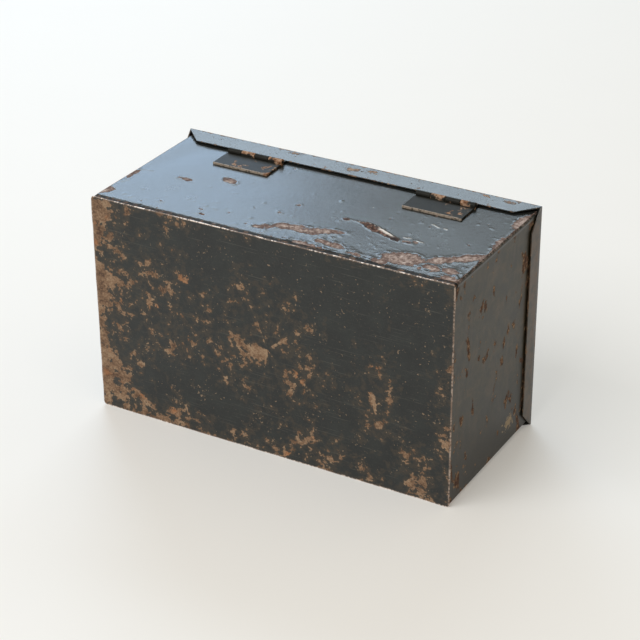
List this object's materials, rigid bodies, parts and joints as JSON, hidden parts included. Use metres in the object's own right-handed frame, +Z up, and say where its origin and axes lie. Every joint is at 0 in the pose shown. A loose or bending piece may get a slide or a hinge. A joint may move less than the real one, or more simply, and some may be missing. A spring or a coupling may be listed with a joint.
{
  "type": "tin money box",
  "caption": "Rectangular japanned tin money box with a hinged flanged lid, till lock, coin slot and bail handle.",
  "frame": {"origin": "centre of the bottom face, on the surface the box stands on", "axes": "+X along the box's length, to the right seen from the front; +Y from the keyhole side to the hinge side; +Z up through the lid"},
  "size_m": [0.2018, 0.1231, 0.0976],
  "materials": {
    "japanned_body": "gloss black japan over tinned sheet, chipped and rusted",
    "japanned_bottom": "worn satin black japan with brown rust",
    "japanned_lid": "black japan, worn at the folds",
    "hinge_iron": "black japan over sheet iron, rusted at the knuckles",
    "hinge_pin_steel": "rusted wire",
    "lock_brass": "dull brass",
    "spring_steel": "dark steel",
    "rivet_brass": "dull brass",
    "plate_brass": "tarnished brass",
    "japanned_iron": "black japan over iron, worn",
    "rivet_iron": "worn iron"
  },
  "bodies": {
    "box": {"body_shell": "japanned_body", "bottom_panel": "japanned_bottom", "hinge_body_leaf_right": "hinge_iron", "hinge_body_leaf_left": "hinge_iron", "hinge_pin_right": "hinge_pin_steel", "hinge_pin_left": "hinge_pin_steel", "lock_case": "lock_brass", "lock_cap": "lock_brass", "lock_spring": "spring_steel", "lock_key_pin": "spring_steel", "lock_rivets": "rivet_brass", "keyhole_plate": "plate_brass", "keyhole_pins": "rivet_brass"},
    "lid": {"lid": "japanned_lid", "hinge_lid_leaf_right": "hinge_iron", "hinge_lid_leaf_left": "hinge_iron", "lid_catch": "japanned_iron", "lid_catch_rivets": "rivet_iron", "handle_ear_right": "japanned_iron", "handle_ear_left": "japanned_iron", "handle_ear_rivets": "rivet_iron"},
    "handle": {"handle_bail": "japanned_iron"},
    "bolt": {"lock_bolt": "lock_brass"}
  },
  "joints": [
    {"name": "lid_hinge", "type": "hinge", "parent": "box", "child": "lid", "pos_m": [0, 0.0607, 0.0782], "axis": [-1, 0, 0], "range_deg": [0, 175]},
    {"name": "handle_swing", "type": "hinge", "parent": "lid", "child": "handle", "pos_m": [0, 0.01, 0.0952], "axis": [-1, 0, 0], "range_deg": [0, 180]},
    {"name": "bolt_slide", "type": "slide", "parent": "box", "child": "bolt", "axis": [1, 0, 0], "range_m": [0, 0.007]}
  ]
}
